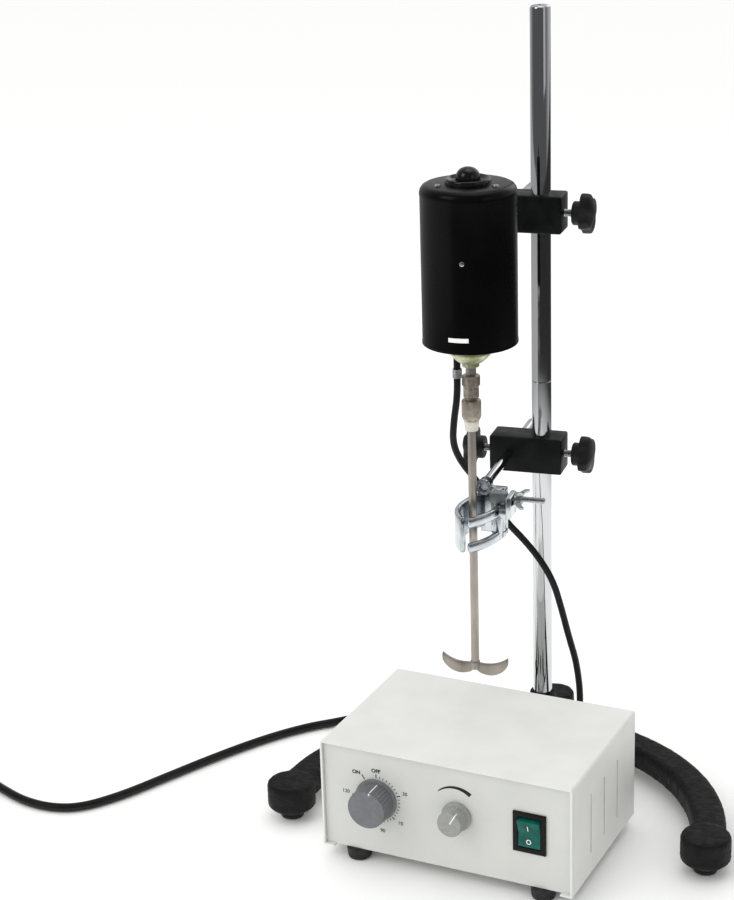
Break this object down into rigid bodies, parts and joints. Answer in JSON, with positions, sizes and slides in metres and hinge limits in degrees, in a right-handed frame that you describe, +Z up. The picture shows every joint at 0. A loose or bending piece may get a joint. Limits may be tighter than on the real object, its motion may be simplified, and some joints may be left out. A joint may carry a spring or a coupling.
{
  "type": "overhead stirrer",
  "caption": "Bench-top overhead stirrer: black motor on a clamped arm, chrome post on a horseshoe base, flask clamp, crescent paddle and an off-white speed and timer box with its cords.",
  "frame": {"origin": "on the table top, under the middle of the box that the machine fills without its cords; the post stands 84.98 mm behind it", "axes": "+Z up along the post, +Y to the rear, where the post and the rear foot are, +X to the right of someone facing the dials"},
  "size_m": [0.7297, 0.3769, 0.63],
  "materials": {
    "base_iron": "black crackle enamel",
    "foot_rubber": "moulded black rubber",
    "post_chrome": "bright chrome plate",
    "screw_steel": "bright zinc plate",
    "case_paint": "off-white powder coat",
    "black_plastic": "black moulded plastic",
    "head_paint": "black satin paint",
    "motor_paint": "black gloss enamel",
    "dome_plastic": "glossy black",
    "bell_zinc": "yellow passivated zinc",
    "core_steel": "laminated electrical steel",
    "copper": "enamelled copper",
    "chuck_nickel": "warm nickel plate",
    "stirrer_steel": "ground stainless steel",
    "clamp_zinc": "bright zinc plate",
    "board": "green glass-fibre board",
    "heat_sink": "plain extrusion",
    "standoff_brass": "plain",
    "dial_grey": "mid grey",
    "speed_grey": "light grey",
    "rocker_green": "translucent green",
    "cord_pvc": "black flexible plastic"
  },
  "bodies": {
    "stand": {"stand_base": "base_iron", "stand_feet": "foot_rubber", "post_lower": "post_chrome", "post_upper": "post_chrome", "post_fasteners": "screw_steel", "box_cover": "case_paint", "box_chassis": "case_paint", "box_feet": "foot_rubber", "box_screws": "screw_steel", "timer_body": "black_plastic", "speed_control": "black_plastic", "switch_housing": "black_plastic", "circuit_board": "board", "board_standoffs": "standoff_brass", "heat_sink": "heat_sink", "transformer": "core_steel", "cord_gland": "black_plastic", "motor_socket": "screw_steel", "motor_plug": "black_plastic", "fuse_holder": "black_plastic", "motor_cord": "cord_pvc", "mains_cord": "cord_pvc", "mains_coil": "cord_pvc", "coil_tie": "black_plastic", "mains_plug": "black_plastic", "plug_pins": "screw_steel"},
    "upper_head": {"upper_head": "head_paint"},
    "upper_post_screw": {"upper_post_screw": "black_plastic"},
    "upper_rod_screw": {"upper_rod_screw": "black_plastic"},
    "lower_head": {"lower_head": "head_paint"},
    "lower_post_screw": {"lower_post_screw": "black_plastic"},
    "lower_rod_screw": {"lower_rod_screw": "black_plastic"},
    "rotor": {"motor_shaft": "core_steel", "armature": "core_steel", "commutator": "copper", "chuck_body": "chuck_nickel"},
    "chuck_sleeve": {"chuck_sleeve": "chuck_nickel"},
    "stirrer": {"stirrer_shaft": "stirrer_steel", "paddle": "stirrer_steel"},
    "motor": {"motor_housing": "motor_paint", "end_bell": "bell_zinc", "motor_bearings": "core_steel", "stator_core": "core_steel", "stator_winding": "copper", "brush_gear": "standoff_brass", "motor_top_ring": "motor_paint", "motor_dome": "dome_plastic", "motor_screws": "screw_steel", "motor_arm": "post_chrome", "arm_nut": "screw_steel", "motor_grommet": "foot_rubber", "cord_ferrule": "screw_steel"},
    "clamp": {"clamp_rod": "clamp_zinc", "clamp_frame": "clamp_zinc", "clamp_pins": "clamp_zinc"},
    "moving_jaw": {"moving_jaw": "clamp_zinc"},
    "wing_nut": {"wing_nut": "clamp_zinc"},
    "timer_knob": {"timer_knob": "dial_grey"},
    "speed_knob": {"speed_knob": "speed_grey"},
    "switch_rocker": {"switch_rocker": "rocker_green"}
  },
  "joints": [
    {"name": "upper_head_slide", "type": "slide", "parent": "stand", "child": "upper_head", "axis": [0, 0, 1], "range_m": [0, 0.085], "deforming": ["motor_cord"]},
    {"name": "motor_slide", "type": "slide", "parent": "upper_head", "child": "motor", "axis": [0, 1, 0], "range_m": [-0.009, 0.009]},
    {"name": "rotor_spin", "type": "hinge", "parent": "motor", "child": "rotor", "pos_m": [-0.025, -0.03702, 0.45], "axis": [0, 0, 1], "continuous": true},
    {"name": "chuck_sleeve_turn", "type": "hinge", "parent": "rotor", "child": "chuck_sleeve", "pos_m": [-0.025, -0.03702, 0.343], "axis": [0, 0, 1], "range_deg": [0, 360]},
    {"name": "stirrer_release", "type": "slide", "parent": "rotor", "child": "stirrer", "axis": [0, 0, 1], "range_m": [-0.02, 0]},
    {"name": "upper_post_screw_turn", "type": "hinge", "parent": "upper_head", "child": "upper_post_screw", "pos_m": [0.019, 0.08498, 0.469], "axis": [1, 0, 0], "range_deg": [0, 720]},
    {"name": "upper_rod_screw_turn", "type": "hinge", "parent": "upper_head", "child": "upper_rod_screw", "pos_m": [-0.041, 0.08498, 0.469], "axis": [-1, 0, 0], "range_deg": [0, 720]},
    {"name": "lower_head_slide", "type": "slide", "parent": "stand", "child": "lower_head", "axis": [0, 0, 1], "range_m": [-0.08, 0.045]},
    {"name": "lower_post_screw_turn", "type": "hinge", "parent": "lower_head", "child": "lower_post_screw", "pos_m": [0.019, 0.08498, 0.2686], "axis": [1, 0, 0], "range_deg": [0, 720]},
    {"name": "lower_rod_screw_turn", "type": "hinge", "parent": "lower_head", "child": "lower_rod_screw", "pos_m": [-0.041, 0.08498, 0.2686], "axis": [-1, 0, 0], "range_deg": [0, 720]},
    {"name": "clamp_slide", "type": "slide", "parent": "lower_head", "child": "clamp", "axis": [0, 1, 0], "range_m": [-0.009, 0.009]},
    {"name": "jaw_open", "type": "hinge", "parent": "clamp", "child": "moving_jaw", "pos_m": [-0.012, -0.01002, 0.2495], "axis": [0, 0, 1], "range_deg": [0, 20]},
    {"name": "wing_nut_back", "type": "slide", "parent": "clamp", "child": "wing_nut", "axis": [1, 0, 0], "range_m": [0, 0.0084]},
    {"name": "timer_turn", "type": "hinge", "parent": "stand", "child": "timer_knob", "pos_m": [-0.07683, -0.13854, 0.057], "axis": [0.1383, 0.9904, 0], "range_deg": [-33, 290]},
    {"name": "speed_turn", "type": "hinge", "parent": "stand", "child": "speed_knob", "pos_m": [-0.01007, -0.14786, 0.057], "axis": [0.1383, 0.9904, 0], "range_deg": [-180, 120]},
    {"name": "switch_tilt", "type": "hinge", "parent": "stand", "child": "switch_rocker", "pos_m": [0.0485, -0.15503, 0.0556], "axis": [-0.9904, 0.1383, 0], "range_deg": [0, 16]}
  ],
  "couplings": [
    {"joint": "wing_nut_back", "follows": "jaw_open", "m_per_rad": 0.024}
  ]
}
